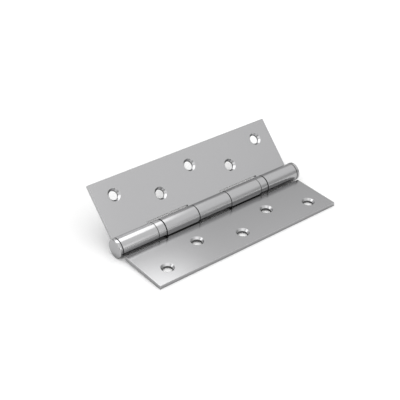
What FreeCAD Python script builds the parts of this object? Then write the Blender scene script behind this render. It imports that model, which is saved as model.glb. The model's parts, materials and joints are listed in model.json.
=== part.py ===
import FreeCAD, Part
import math
import os

import Sketcher

# Ball bearing butt hinge, five knuckles and two bearings, standing open as it is sold.
# The frame has its origin in the middle of the two-knuckle leaf's back face, +X along the pin
# towards the plugged end, +Z up and +Y towards the raised leaf. Lengths are in millimetres.
# Each body is drawn about its own pin axis, with x counted from the end under the pin's head.

SIZES = (
    ("leaf_length", 152.4, "length of both leaves and of the barrel between the two buttons"),
    ("leaf_reach", 44.45, "pin axis to the outer edge of a leaf"),
    ("leaf_thickness", 2.75, "gauge of the sheet"),
    ("barrel_diameter", 13.3, "outside of the rolled knuckles"),
    ("axis_height", 2.4, "pin axis above the inner face of a leaf, half the gap when shut"),
    ("opening_angle", 135.7, "angle between the leaves as drawn"),
    ("root_bend", 4.0, "radius behind the leaf where it runs down into the knuckle"),
    ("curl_gap", 0.75, "gap between the end of the rolled sheet and the leaf's face"),
    ("edge_break", 0.1, "flat on the sheared edges of the leaf"),
    ("end_knuckle", 27.8, "length of the first and last knuckle"),
    ("side_knuckle", 27.35, "length of the second and fourth knuckle"),
    ("bearing_length", 7.0, "room for one bearing in the barrel"),
    ("knuckle_gap", 0.6, "running gap between two knuckles that turn against each other"),
    ("notch_clearance", 1.3, "barrel to the edge of a notch in the leaf"),
    ("notch_corner", 0.6, "radius in the corners of a notch"),
    ("knuckle_break", 0.2, "flat on the ends of knuckles, cases and buttons"),
    ("outer_row", 32.6, "pin axis to the row of three screw holes"),
    ("inner_row", 22.0, "pin axis to the row of two screw holes"),
    ("hole_one", 14.8, "first screw hole from the head end, outer row"),
    ("hole_two", 47.1, "second screw hole from the head end, inner row"),
    ("hole_three", 1.1, "third screw hole past the middle of the leaf, outer row"),
    ("hole_four", 44.2, "fourth screw hole from the plugged end, inner row"),
    ("hole_five", 14.2, "fifth screw hole from the plugged end, outer row"),
    ("screw_hole", 6.4, "diameter of the hole for the screw's shank"),
    ("countersink", 9.1, "diameter of the countersink at the face"),
    ("countersink_angle", 90.0, "included angle of the countersink"),
    ("pin_play", 0.05, "radial running play between pin and knuckle"),
    ("press_play", 0.01, "radial play left at the pin's grip and the plug's shank"),
    ("grip_length", 8.0, "fatter part of the pin that holds in the first knuckle"),
    ("button_height", 2.8, "height of the pin's head and of the plug's head"),
    ("button_bevel", 0.5, "bevel round the face of a button"),
    ("button_groove", 0.45, "groove under a button's rim, along the pin"),
    ("shoulder_step", 0.9, "depth of that groove, down to the shoulder that seats on the knuckle"),
    ("plug_shank", 10.0, "length of the plug inside the last knuckle"),
    ("plug_gap", 1.0, "pin's end to the end of the plug"),
    ("tip_break", 0.6, "flat on the end of the pin and of the plug's shank"),
    ("ball_diameter", 1.588, "bearing ball, one sixteenth of an inch"),
    ("ball_play", 0.03, "ball to the sides of the race's groove"),
    ("groove_width", 1.0, "width of the ball groove at the race's face"),
    ("groove_slope", 30.0, "angle between the groove's side and the race's face"),
    ("cage_thickness", 0.8, "cage along the pin"),
    ("cage_play", 0.15, "radial play of the cage on the pin"),
    ("cage_cover", 0.35, "cage outside the circle of the balls' centres"),
    ("pocket_play", 0.04, "radial play of a ball in its pocket"),
    ("ball_rim", 0.1, "radial play of the balls inside the case"),
    ("case_wall", 0.6, "wall of the bearing's case"),
    ("case_floor", 1.2, "floor of the bearing's case"),
    ("case_corner", 0.5, "radius of the drawn corner round the case's floor"),
    ("case_gap", 0.75, "open edge of the case to the knuckle that turns against it"),
    ("race_thickness", 1.6, "race that sits in the case's floor"),
    ("race_play", 0.1, "radial play of both races on the pin"),
    ("seat_play", 0.02, "radial play of the seated race in its case"),
    ("turn_play", 0.15, "radial play of the turning race in its case"),
)
BALL_COUNT = 8


class Measure:
    """A number of the model with the expression that keeps it tied to the sheet."""

    def __init__(self, value, text=None):
        self.value = float(value)
        self.text = text if text is not None else repr(float(value))

    def _with(self, other, value, sign):
        return Measure(value, f"({self.text} {sign} {other.text})")

    def __add__(self, other):
        other = measure(other)
        return self._with(other, self.value + other.value, "+")

    def __sub__(self, other):
        other = measure(other)
        return self._with(other, self.value - other.value, "-")

    def __mul__(self, other):
        other = measure(other)
        return self._with(other, self.value * other.value, "*")

    def __truediv__(self, other):
        other = measure(other)
        return self._with(other, self.value / other.value, "/")

    def __neg__(self):
        return Measure(-self.value, f"(-1 * {self.text})")


def measure(number):
    """A plain number as a Measure, and a Measure as it is."""
    return number if isinstance(number, Measure) else Measure(number)


def root(square):
    """Square root of a Measure."""
    return Measure(math.sqrt(square.value), f"sqrt({square.text})")


def sine(angle):
    """Sine of an angle in degrees."""
    return Measure(math.sin(math.radians(angle.value)), f"sin({angle.text} * 1 deg)")


def cosine(angle):
    """Cosine of an angle in degrees."""
    return Measure(math.cos(math.radians(angle.value)), f"cos({angle.text} * 1 deg)")


def arcsine(ratio):
    """Angle in degrees whose sine is a ratio."""
    return Measure(math.degrees(math.asin(ratio.value)), f"(asin({ratio.text}) / 1 deg)")


document = FreeCAD.newDocument("ball_bearing_butt_hinge")
sheet = document.addObject("Spreadsheet::Sheet", "Sizes")
size = {}
for row, (alias, number, note) in enumerate(SIZES, start=1):
    sheet.set(f"A{row}", alias)
    sheet.set(f"B{row}", str(number))
    sheet.set(f"C{row}", note)
    sheet.setAlias(f"B{row}", alias)
    size[alias] = Measure(number, f"Sizes.{alias}")
document.recompute()

# Places along the barrel, counted from the face under the pin's head.

length = size["leaf_length"]
half_gap = size["knuckle_gap"] / 2
first_end = size["end_knuckle"]
second_start = first_end + size["bearing_length"]
second_end = second_start + size["side_knuckle"]
fourth_start = length - second_end
fourth_end = length - second_start
fifth_start = length - first_end

# Radii about the pin axis and the heights of the leaf's two faces under it.

barrel_radius = size["barrel_diameter"] / 2
bore_radius = barrel_radius - size["leaf_thickness"]
pin_radius = bore_radius - size["pin_play"]
press_radius = bore_radius - size["press_play"]
notch_reach = barrel_radius + size["notch_clearance"]
inner_face = -size["axis_height"]
back_face = inner_face - size["leaf_thickness"]

# The sheet bends down from the leaf and meets the barrel's circle on the line to this centre.

bend_height = back_face - size["root_bend"]
centre_distance = barrel_radius + size["root_bend"]
bend_reach = root(centre_distance * centre_distance - bend_height * bend_height)

# The frame's origin is the middle of the two-knuckle leaf's flat back.

axis_y = (size["leaf_reach"] + bend_reach) / 2
axis_z = -back_face
raised_angle = measure(180) - size["opening_angle"]


def place(item, turn=None, along=None, across=None, above=None):
    """Sets an object in the frame: its pin axis on the hinge's, turned about it."""
    spots = {
        "x": (along if along is not None else measure(0)) - length / 2,
        "y": axis_y + across if across is not None else axis_y,
        "z": axis_z + above if above is not None else axis_z,
    }
    angle = turn.value if turn is not None else 0.0
    item.Placement = FreeCAD.Placement(
        FreeCAD.Vector(*(spot.value for spot in spots.values())),
        FreeCAD.Rotation(FreeCAD.Vector(1, 0, 0), angle),
    )
    for letter, spot in spots.items():
        item.setExpression(f"Placement.Base.{letter}", spot.text)
    if turn is not None:
        item.setExpression("Placement.Rotation.Angle", f"{turn.text} * 1 deg")


def new_body(name):
    """An empty body whose label is its node's name."""
    body = document.addObject("PartDesign::Body", name)
    body.Label = name
    return body


def new_sketch(body, name, role, height=None):
    """A sketch on one of the body's own origin planes, lifted by a height where one is given."""
    sketch = body.newObject("Sketcher::SketchObject", name)
    plane = next(item for item in body.Origin.OriginFeatures if item.Role == role)
    sketch.AttachmentSupport = [(plane, "")]
    sketch.MapMode = "FlatFace"
    if height is not None:
        sketch.AttachmentOffset = FreeCAD.Placement(FreeCAD.Vector(0, 0, height.value), FreeCAD.Rotation())
        sketch.setExpression("AttachmentOffset.Base.z", height.text)
    return sketch


def bind(sketch, kind, ends, amount):
    """Adds a driving dimension that follows the sheet."""
    index = sketch.addConstraint(Sketcher.Constraint(kind, *ends, amount.value))
    sketch.setExpression(f"Constraints[{index}]", amount.text)


def fix_point(sketch, end, across, up):
    """Ties a point of the sketch to its origin by two dimensions, or to an axis where one is nil."""
    for kind, axis, amount in (("DistanceX", -2, across), ("DistanceY", -1, up)):
        if abs(amount.value) < 1e-9:
            sketch.addConstraint(Sketcher.Constraint("PointOnObject", *end, axis))
        elif amount.value > 0:
            bind(sketch, kind, (-1, 1, *end), amount)
        else:
            bind(sketch, kind, (*end, -1, 1), -amount)


def vector(across, up):
    """A sketch point from two measures."""
    return FreeCAD.Vector(across.value, up.value, 0)


def polygon(sketch, corners):
    """A closed outline of straight lines with every corner dimensioned."""
    lines = []
    for start, end in zip(corners, corners[1:] + corners[:1]):
        lines.append(sketch.addGeometry(Part.LineSegment(vector(*start), vector(*end)), False))
    for line, following, corner in zip(lines, lines[1:] + lines[:1], corners[1:] + corners[:1]):
        sketch.addConstraint(Sketcher.Constraint("Coincident", line, 2, following, 1))
        fix_point(sketch, (following, 1), *corner)


def circle(sketch, across, up, radius):
    """A circle with its centre and its radius dimensioned."""
    geometry = Part.Circle(vector(across, up), FreeCAD.Vector(0, 0, 1), radius.value)
    index = sketch.addGeometry(geometry, False)
    fix_point(sketch, (index, 3), across, up)
    bind(sketch, "Radius", (index,), radius)


def turned(body, name, corners):
    """A solid of revolution about the pin axis from an outline of places along it and radii."""
    sketch = new_sketch(body, f"{name}_outline", "XY_Plane")
    polygon(sketch, corners)
    feature = body.newObject("PartDesign::Revolution", f"{name}_turned")
    feature.Profile = sketch
    feature.ReferenceAxis = (sketch, ["H_Axis"])
    feature.Angle = 360
    return feature


def edges_where(feature, test):
    """Names of the feature's edges that pass a test."""
    return [f"Edge{number}" for number, edge in enumerate(feature.Shape.Edges, start=1) if test(edge)]


def broken_edges(body, name, kind, base, test, amount):
    """Rounds or flattens the edges of a feature that pass a test."""
    document.recompute()
    feature = body.newObject(f"PartDesign::{kind}", name)
    feature.Base = (base, edges_where(base, test))
    control = "Radius" if kind == "Fillet" else "Size"
    setattr(feature, control, amount.value)
    feature.setExpression(control, amount.text)
    body.Tip = feature
    return feature


# Leaves: one sheet each, its edge rolled round the pin, notched for the other leaf's knuckles.


def meeting_end(sketch, index, point):
    """Which end of a line or arc lies on a point: 1 for its start, 2 for its end."""
    gaps = {position: sketch.getPoint(index, position).distanceToPoint(point) for position in (1, 2)}
    return min(gaps, key=gaps.get)


def join(sketch, kind, first, second, point):
    """Joins two pieces of outline at a point, sharply or running into each other."""
    ends = (first, meeting_end(sketch, first, point), second, meeting_end(sketch, second, point))
    sketch.addConstraint(Sketcher.Constraint(kind, *ends))


def arc(sketch, centre, radius, start, end, through):
    """An arc of a circle between two points, by way of a direction from its centre."""
    middle = centre + FreeCAD.Vector(math.cos(through), math.sin(through), 0) * radius
    return sketch.addGeometry(Part.Arc(start, middle, end), False)


def rolled_section(body, name, side):
    """The sheet's section across the pin: flat leaf, bend at its root and the rolled knuckle."""
    sketch = new_sketch(body, f"{name}_section", "YZ_Plane")
    origin = FreeCAD.Vector(0, 0, 0)
    centre = FreeCAD.Vector(side * bend_reach.value, bend_height.value, 0)
    towards_root = centre / centre.Length
    curl_drop = size["axis_height"] - size["curl_gap"]
    curl_rise = math.asin(curl_drop.value / barrel_radius.value)
    towards_curl = FreeCAD.Vector(side * math.cos(curl_rise), -math.sin(curl_rise), 0)
    outer_back = vector(size["leaf_reach"] * side, back_face)
    outer_inner = vector(size["leaf_reach"] * side, inner_face)
    bend_inner = vector(bend_reach * side, inner_face)
    bend_back = vector(bend_reach * side, back_face)
    root_bore = towards_root * bore_radius.value
    root_barrel = towards_root * barrel_radius.value
    curl_bore = towards_curl * bore_radius.value
    curl_barrel = towards_curl * barrel_radius.value
    root_angle = math.atan2(-towards_root.y, -towards_root.x)
    bend_angle = (root_angle + math.pi / 2) / 2
    far_side = math.pi / 2 + side * math.pi / 2
    inner_bend_radius = size["root_bend"].value + size["leaf_thickness"].value

    edge = sketch.addGeometry(Part.LineSegment(outer_back, outer_inner), False)
    inner = sketch.addGeometry(Part.LineSegment(outer_inner, bend_inner), False)
    inner_bend = arc(sketch, centre, inner_bend_radius, bend_inner, root_bore, bend_angle)
    bore = arc(sketch, origin, bore_radius.value, root_bore, curl_bore, far_side)
    curl = sketch.addGeometry(Part.LineSegment(curl_bore, curl_barrel), False)
    barrel = arc(sketch, origin, barrel_radius.value, curl_barrel, root_barrel, far_side)
    back_bend = arc(sketch, centre, size["root_bend"].value, root_barrel, bend_back, bend_angle)
    back = sketch.addGeometry(Part.LineSegment(bend_back, outer_back), False)

    join(sketch, "Coincident", edge, inner, outer_inner)
    join(sketch, "Tangent", inner, inner_bend, bend_inner)
    join(sketch, "Tangent", inner_bend, bore, root_bore)
    join(sketch, "Coincident", bore, curl, curl_bore)
    join(sketch, "Coincident", curl, barrel, curl_barrel)
    join(sketch, "Tangent", barrel, back_bend, root_barrel)
    join(sketch, "Tangent", back_bend, back, bend_back)
    join(sketch, "Coincident", back, edge, outer_back)
    for round_part in (bore, barrel):
        sketch.addConstraint(Sketcher.Constraint("Coincident", round_part, 3, -1, 1))
    sketch.addConstraint(Sketcher.Constraint("Coincident", inner_bend, 3, back_bend, 3))
    sketch.addConstraint(Sketcher.Constraint("PointOnObject", -1, 1, curl))
    sketch.addConstraint(Sketcher.Constraint("Horizontal", inner))
    sketch.addConstraint(Sketcher.Constraint("Vertical", edge))
    fix_point(sketch, (edge, 1), size["leaf_reach"] * side, back_face)
    bind(sketch, "DistanceY", (edge, 1, edge, 2), size["leaf_thickness"])
    bind(sketch, "Radius", (barrel,), barrel_radius)
    bind(sketch, "Radius", (bore,), bore_radius)
    bind(sketch, "Radius", (back_bend,), size["root_bend"])
    bind(sketch, "DistanceY", (barrel, meeting_end(sketch, barrel, curl_barrel), -1, 1), curl_drop)
    return sketch


def notch_cut(body, name, side, base, spans):
    """Cuts the sheet away over the stretches of barrel that belong to the other leaf."""
    sketch = new_sketch(body, f"{name}_notches", "XY_Plane")
    past_barrel = -barrel_radius * 1.5
    for start, end in spans:
        corners = [(start, past_barrel * side), (end, past_barrel * side)]
        corners += [(end, notch_reach * side), (start, notch_reach * side)]
        polygon(sketch, corners)
    pocket = body.newObject("PartDesign::Pocket", f"{name}_notched")
    pocket.Profile = sketch
    pocket.Type = "ThroughAll"
    pocket.SideType = "Symmetric"
    document.recompute()
    removed = base.Shape.Volume - pocket.Shape.Volume
    if removed <= 0:
        raise RuntimeError(f"the notches of {name} cut nothing")
    return pocket


def screw_holes(body, name, side):
    """Five countersunk holes in two rows, sunk from the inner face."""
    sketch = new_sketch(body, f"{name}_screw_places", "XY_Plane", inner_face)
    places = (
        (size["hole_one"], size["outer_row"]),
        (size["hole_two"], size["inner_row"]),
        (length / 2 + size["hole_three"], size["outer_row"]),
        (length - size["hole_four"], size["inner_row"]),
        (length - size["hole_five"], size["outer_row"]),
    )
    for along, reach in places:
        circle(sketch, along, reach * side, size["screw_hole"] / 2)
    document.recompute()
    hole = body.newObject("PartDesign::Hole", f"{name}_screw_holes")
    hole.Profile = sketch
    hole.DepthType = "ThroughAll"
    hole.Diameter = size["screw_hole"].value
    hole.setExpression("Diameter", size["screw_hole"].text)
    hole.HoleCutType = "Countersink"
    hole.HoleCutCustomValues = True
    hole.HoleCutDiameter = size["countersink"].value
    hole.setExpression("HoleCutDiameter", size["countersink"].text)
    hole.HoleCutCountersinkAngle = size["countersink_angle"].value
    hole.setExpression("HoleCutCountersinkAngle", size["countersink_angle"].text)
    document.recompute()
    return hole


def knuckle_ends(body, name, side, base, faces):
    """Flattens the ends of the knuckles, from the root of the leaf round to the end of the curl."""
    sketch = new_sketch(body, f"{name}_knuckle_ends", "XY_Plane")
    flat = size["knuckle_break"]
    far_side = measure(-side)
    for place_along, inwards in faces:
        corners = [(place_along, (barrel_radius - flat) * far_side)]
        corners.append((place_along + flat * (2 * inwards), (barrel_radius + flat) * far_side))
        corners.append((place_along, (barrel_radius + flat) * far_side))
        polygon(sketch, corners)
    over_the_top = measure(180) + arcsine((size["axis_height"] - size["curl_gap"]) / barrel_radius)
    down_to_root = arcsine(bend_height / -centre_distance)
    groove = body.newObject("PartDesign::Groove", f"{name}_knuckle_breaks")
    groove.Profile = sketch
    groove.ReferenceAxis = (sketch, ["H_Axis"])
    groove.Type = "TwoAngles"
    angles = (over_the_top, measure(180) - down_to_root)
    for control, angle in zip(("Angle", "Angle2"), angles if side < 0 else angles[::-1]):
        setattr(groove, control, angle.value)
        groove.setExpression(control, f"{angle.text} * 1 deg")
    body.Tip = groove
    document.recompute()
    if groove.Shape.Volume >= base.Shape.Volume:
        raise RuntimeError(f"the knuckle ends of {name} cut nothing")


def make_leaf(name, side, spans, faces, turn=None):
    """One leaf, reaching to +Y (side 1) or -Y (side -1) of the pin, notched over the spans."""
    body = new_body(name)
    pad = body.newObject("PartDesign::Pad", f"{name}_sheet")
    pad.Profile = rolled_section(body, name, side)
    pad.Length = length.value
    pad.setExpression("Length", length.text)
    document.recompute()
    notched = notch_cut(body, name, side, pad, spans)
    reach = size["leaf_reach"].value
    thickness = size["leaf_thickness"].value
    notch = notch_reach.value

    def inside_corner(edge):
        box = edge.BoundBox
        upright = box.ZLength > thickness * 0.99 and box.XLength < 1e-6 and box.YLength < 1e-6
        at_notch = abs(box.YMin * side - notch) < 1e-6
        inside = 1e-3 < box.XMin < length.value - 1e-3
        return upright and at_notch and inside

    corner = size["notch_corner"]
    broken_edges(body, f"{name}_notch_corners", "Fillet", notched, inside_corner, corner)
    document.recompute()
    drilled = screw_holes(body, name, side)

    def sheared(edge):
        box = edge.BoundBox
        flat = box.ZLength < 1e-6
        outer = box.YLength < 1e-6 and abs(box.YMin * side - reach) < 1e-6
        end = box.XLength < 1e-6 and min(abs(box.XMin), abs(box.XMin - length.value)) < 1e-6
        leaf_end = end and max(box.YMin * side, box.YMax * side) > reach - 1e-6
        return flat and (outer or leaf_end)

    broken = broken_edges(body, f"{name}_sheared_edges", "Chamfer", drilled, sheared, size["edge_break"])
    knuckle_ends(body, name, side, broken, faces)
    place(body, turn)
    return body


raised_spans = [
    (first_end, second_end + half_gap),
    (fourth_start - half_gap, fifth_start),
]
raised_faces = [
    (measure(0), 1),
    (first_end, -1),
    (second_end + half_gap, 1),
    (fourth_start - half_gap, -1),
    (fifth_start, 1),
    (length, -1),
]
flat_spans = [
    (-size["knuckle_break"], second_start),
    (second_end - half_gap, fourth_start + half_gap),
    (fourth_end, length + size["knuckle_break"]),
]
flat_faces = [
    (second_start, 1),
    (second_end - half_gap, -1),
    (fourth_start + half_gap, 1),
    (fourth_end, -1),
]
make_leaf("leaf_two_knuckle", -1, flat_spans, flat_faces)
make_leaf("leaf_three_knuckle", 1, raised_spans, raised_faces, raised_angle)

# Pin and plug: the pin's head and the plug's head are the two buttons of the barrel. Each seats on
# its knuckle with a shoulder, which leaves a groove under its rim.

axis = measure(0)
flat = size["knuckle_break"]
bevel = size["button_bevel"]
tip = size["tip_break"]
rim_groove = size["button_groove"]
shoulder_radius = barrel_radius - size["shoulder_step"]
button_face = -size["button_height"]
pin_end = length - size["plug_shank"] - size["plug_gap"]

pin = new_body("hinge_pin")
pin_outline = [
    (button_face, axis),
    (button_face, barrel_radius - bevel),
    (button_face + bevel, barrel_radius),
    (-(rim_groove + flat), barrel_radius),
    (-rim_groove, barrel_radius - flat),
    (-rim_groove, shoulder_radius),
    (axis, shoulder_radius),
    (axis, press_radius),
    (size["grip_length"], press_radius),
    (size["grip_length"], pin_radius),
    (pin_end - tip, pin_radius),
    (pin_end, pin_radius - tip),
    (pin_end, axis),
]
turned(pin, "hinge_pin", pin_outline)
place(pin, raised_angle)

plug = new_body("end_plug")
plug_face = length + size["button_height"]
plug_start = length - size["plug_shank"]
plug_outline = [
    (plug_face, axis),
    (plug_face, barrel_radius - bevel),
    (plug_face - bevel, barrel_radius),
    (length + rim_groove + flat, barrel_radius),
    (length + rim_groove, barrel_radius - flat),
    (length + rim_groove, shoulder_radius),
    (length, shoulder_radius),
    (length, press_radius),
    (plug_start + tip, press_radius),
    (plug_start, press_radius - tip),
    (plug_start, axis),
]
turned(plug, "end_plug", plug_outline)
place(plug, raised_angle)

# Bearings: a drawn case whose floor rests on one knuckle, a race seated in it, a cage of balls, and
# a race that stands out of the case and turns with the next knuckle.

case_inside = barrel_radius - size["case_wall"]
race_bore = pin_radius + size["race_play"]
ball_radius = size["ball_diameter"] / 2
ring_radius = case_inside - size["ball_rim"] - ball_radius
pocket_radius = ball_radius + size["pocket_play"]
groove_half = size["groove_width"] / 2
groove_depth = groove_half * sine(size["groove_slope"]) / cosine(size["groove_slope"])
face_to_ball = (ball_radius + size["ball_play"]) / cosine(size["groove_slope"]) - groove_depth


def make_race(name, back, face, groove_floor, outer_radius):
    """A washer with a groove of two slopes for the balls in one face."""
    body = new_body(name)
    outline = [
        (back, race_bore),
        (back, outer_radius),
        (face, outer_radius),
        (face, ring_radius + groove_half),
        (groove_floor, ring_radius),
        (face, ring_radius - groove_half),
        (face, race_bore),
    ]
    turned(body, name, outline)
    place(body)


def make_cage(name, ball_place):
    """A flat ring with open pockets that keep the balls apart."""
    body = new_body(name)
    low_face = ball_place - size["cage_thickness"] / 2
    ring = new_sketch(body, f"{name}_ring", "YZ_Plane", low_face)
    circle(ring, axis, axis, pin_radius + size["cage_play"])
    circle(ring, axis, axis, ring_radius + size["cage_cover"])
    pad = body.newObject("PartDesign::Pad", f"{name}_blank")
    pad.Profile = ring
    pad.Length = size["cage_thickness"].value
    pad.setExpression("Length", size["cage_thickness"].text)
    document.recompute()
    spot = new_sketch(body, f"{name}_pocket_place", "YZ_Plane", low_face)
    circle(spot, ring_radius, axis, pocket_radius)
    pocket = body.newObject("PartDesign::Pocket", f"{name}_pocket")
    pocket.Profile = spot
    pocket.Type = "ThroughAll"
    pocket.SideType = "Symmetric"
    document.recompute()
    one_pocket = pad.Shape.Volume - pocket.Shape.Volume
    pattern = body.newObject("PartDesign::PolarPattern", f"{name}_pockets")
    pattern.Originals = [pocket]
    pattern.Axis = (spot, ["N_Axis"])
    pattern.Angle = 360
    pattern.Occurrences = BALL_COUNT
    body.Tip = pattern
    document.recompute()
    all_pockets = pad.Shape.Volume - pattern.Shape.Volume
    if one_pocket <= 0 or abs(all_pockets - BALL_COUNT * one_pocket) > one_pocket / 100:
        raise RuntimeError(f"the pockets of {name} are not all cut")
    place(body)


def make_bearing(name, start):
    """One bearing of the barrel, from the knuckle that its case rests on."""
    end = start + size["bearing_length"]
    mouth = end - size["case_gap"]
    floor = start + size["case_floor"]
    case = new_body(f"{name}_case")
    case_outline = [
        (start, race_bore),
        (start, barrel_radius),
        (mouth - flat, barrel_radius),
        (mouth, barrel_radius - flat),
        (mouth, case_inside),
        (floor, case_inside),
        (floor, race_bore),
    ]
    drawn = turned(case, f"{name}_case", case_outline)

    def floor_corner(edge):
        box = edge.BoundBox
        at_floor = max(abs(box.XMin - start.value), abs(box.XMax - start.value)) < 1e-6
        return at_floor and abs(box.YMax - barrel_radius.value) < 1e-6

    broken_edges(case, f"{name}_case_corner", "Fillet", drawn, floor_corner, size["case_corner"])
    place(case)
    seat_face = floor + size["race_thickness"]
    ball_place = seat_face + face_to_ball
    turning_face = ball_place + face_to_ball
    seat_radius = case_inside - size["seat_play"]
    turning_radius = case_inside - size["turn_play"]
    make_race(f"{name}_seated_race", floor, seat_face, seat_face - groove_depth, seat_radius)
    make_race(f"{name}_turning_race", end, turning_face, turning_face + groove_depth, turning_radius)
    make_cage(f"{name}_cage", ball_place)
    for number in range(BALL_COUNT):
        angle = measure(360 * number / BALL_COUNT)
        ball_name = f"{name}_ball_{number + 1}"
        ball = document.addObject("Part::Sphere", ball_name)
        ball.Label = ball_name
        ball.Radius = ball_radius.value
        ball.setExpression("Radius", ball_radius.text)
        place(ball, None, ball_place, ring_radius * cosine(angle), ring_radius * sine(angle))


make_bearing("bearing_1", first_end)
make_bearing("bearing_2", fourth_end)

# Every object is checked before anything is written.

document.recompute()
for item in document.Objects:
    if {"Invalid", "Error"} & set(item.State):
        raise RuntimeError(f"{item.Name} could not be computed")
sub_parts = [item for item in document.Objects if item.TypeId in ("PartDesign::Body", "Part::Sphere")]
for sub_part in sub_parts:
    if sub_part.Shape.isNull() or not sub_part.Shape.isValid() or len(sub_part.Shape.Solids) != 1:
        raise RuntimeError(f"{sub_part.Label} is not one valid solid")
os.makedirs("parts", exist_ok=True)
for sub_part in sub_parts:
    sub_part.Shape.exportStep(f"parts/{sub_part.Label}.step")
print(f"{len(sub_parts)} sub-parts written")
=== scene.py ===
import json
import logging
import math
from dataclasses import dataclass, field
from enum import Enum, IntEnum
from functools import cached_property
from typing import Iterable, Optional, Sequence

import bmesh
import bpy
from bpy.types import Collection, Material, Mesh, NodeSocket, NodeTree, Object
from mathutils import Matrix, Vector


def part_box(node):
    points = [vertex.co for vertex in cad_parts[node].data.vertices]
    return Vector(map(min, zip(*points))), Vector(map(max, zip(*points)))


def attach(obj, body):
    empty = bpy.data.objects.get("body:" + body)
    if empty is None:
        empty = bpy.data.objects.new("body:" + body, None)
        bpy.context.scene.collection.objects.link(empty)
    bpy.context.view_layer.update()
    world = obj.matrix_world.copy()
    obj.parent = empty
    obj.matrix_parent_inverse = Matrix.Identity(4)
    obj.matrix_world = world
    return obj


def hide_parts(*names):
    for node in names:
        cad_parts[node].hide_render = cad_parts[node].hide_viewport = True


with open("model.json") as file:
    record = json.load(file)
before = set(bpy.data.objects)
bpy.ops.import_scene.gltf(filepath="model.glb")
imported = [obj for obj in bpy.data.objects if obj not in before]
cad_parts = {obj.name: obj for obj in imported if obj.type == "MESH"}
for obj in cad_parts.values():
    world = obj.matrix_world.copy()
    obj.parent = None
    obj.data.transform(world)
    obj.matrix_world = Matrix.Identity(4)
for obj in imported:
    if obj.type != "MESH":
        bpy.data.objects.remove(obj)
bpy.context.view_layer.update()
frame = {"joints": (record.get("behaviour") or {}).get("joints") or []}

# Ball bearing butt hinge in satin steel: two rolled leaves, a pin with button ends, two flush
# bearings. Sizes are in millimetres, as a maker would write them, and become metres in the meshes.

SWING = frame["joints"][0]
MM = 0.001
LOG = logging.getLogger("hinge")

# The bound of a panel of light that runs on to the horizon, next to its distance of 1.
OPEN = 1000.0

# Lengths that count as the same place, and as no length at all.
NEAR = 1e-3
NOTHING = 1e-4

STEEL_COLOUR = (0.4, 0.4, 0.405)

# Turns what stands on Z to lie along X.
LAID = (0.0, math.pi / 2, 0.0)

# Numbers that go together, and a solid as its corners and its faces.
Pair = tuple[float, float]
Triple = tuple[float, float, float]
Solid = tuple[list[Triple], list[list[int]]]


class Side(Enum):
    """Which leaf: the one that lies flat or the one that stands up."""

    FLAT = "flat_leaf"
    RAISED = "raised_leaf"


class Easing(Enum):
    """How far an edge is eased, as a share of the widest easing."""

    SHEARED = 1.0
    KNUCKLE = 0.6
    NOTCH = 0.4
    HOLE = 0.35


class LeafFace(IntEnum):
    """Finishes of a leaf, and the painted shade of its hole bores and knuckle ends, in the order of its
    mesh's materials.
    """

    SHEET = 0
    SUNK = 1
    LAND_SHADE = 2
    SHEARED = 3
    KNUCKLE_END_SHADE = 4


# Node trees, written through small helpers.


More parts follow.
